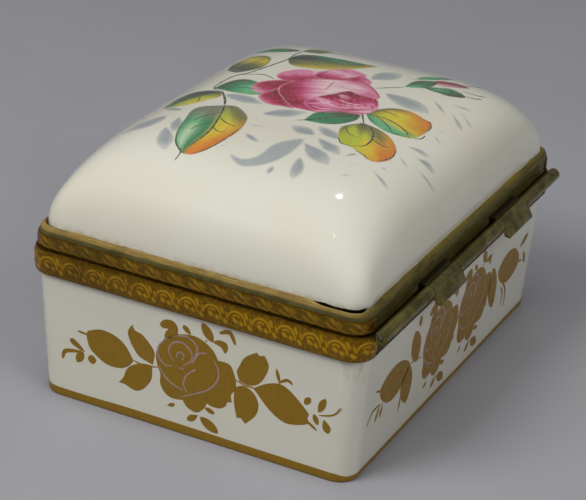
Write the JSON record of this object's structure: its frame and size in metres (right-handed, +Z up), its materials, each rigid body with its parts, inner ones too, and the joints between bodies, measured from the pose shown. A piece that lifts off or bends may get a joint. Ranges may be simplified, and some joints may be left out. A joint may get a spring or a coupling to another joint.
{
  "type": "porcelain trinket box",
  "caption": "Rectangular porcelain trinket box with a domed lid, embossed brass mounts, a full-length tube hinge with stop lugs and a front clasp.",
  "frame": {"origin": "middle of the foot, on the surface that the box stands on", "axes": "+X along the hinge, -Y to the front with the clasp, +Y to the hinge, +Z up"},
  "size_m": [0.1318, 0.107, 0.0733],
  "materials": {
    "porcelain": "glossy glaze with flat gold painting",
    "porcelain_lid": "glossy glaze with painted flowers",
    "brass": "tarnished",
    "brass_embossed": "embossed, worn gilt",
    "brass_hinge": "dull, olive-brown patina",
    "pin_steel": "dull",
    "cement": "matt, yellowed"
  },
  "bodies": {
    "base": {"base_porcelain": "porcelain", "base_cement": "cement", "base_mount": "brass", "base_strip": "brass_embossed", "hinge_pin": "pin_steel", "base_knuckle_left": "brass_hinge", "base_knuckle_middle": "brass_hinge", "base_knuckle_right": "brass_hinge", "clasp_stud": "brass"},
    "lid": {"lid_porcelain": "porcelain_lid", "lid_cement": "cement", "lid_mount": "brass", "lid_strip": "brass_embossed", "lid_knuckle_left": "brass_hinge", "lid_knuckle_right": "brass_hinge", "stop_lug_left": "brass_hinge", "stop_lug_right": "brass_hinge", "clasp_tab": "brass"}
  },
  "joints": [
    {"name": "lid_hinge", "type": "hinge", "parent": "base", "child": "lid", "pos_m": [0, 0.05135, 0.044], "axis": [-1, 0, 0], "range_deg": [0, 79]}
  ]
}
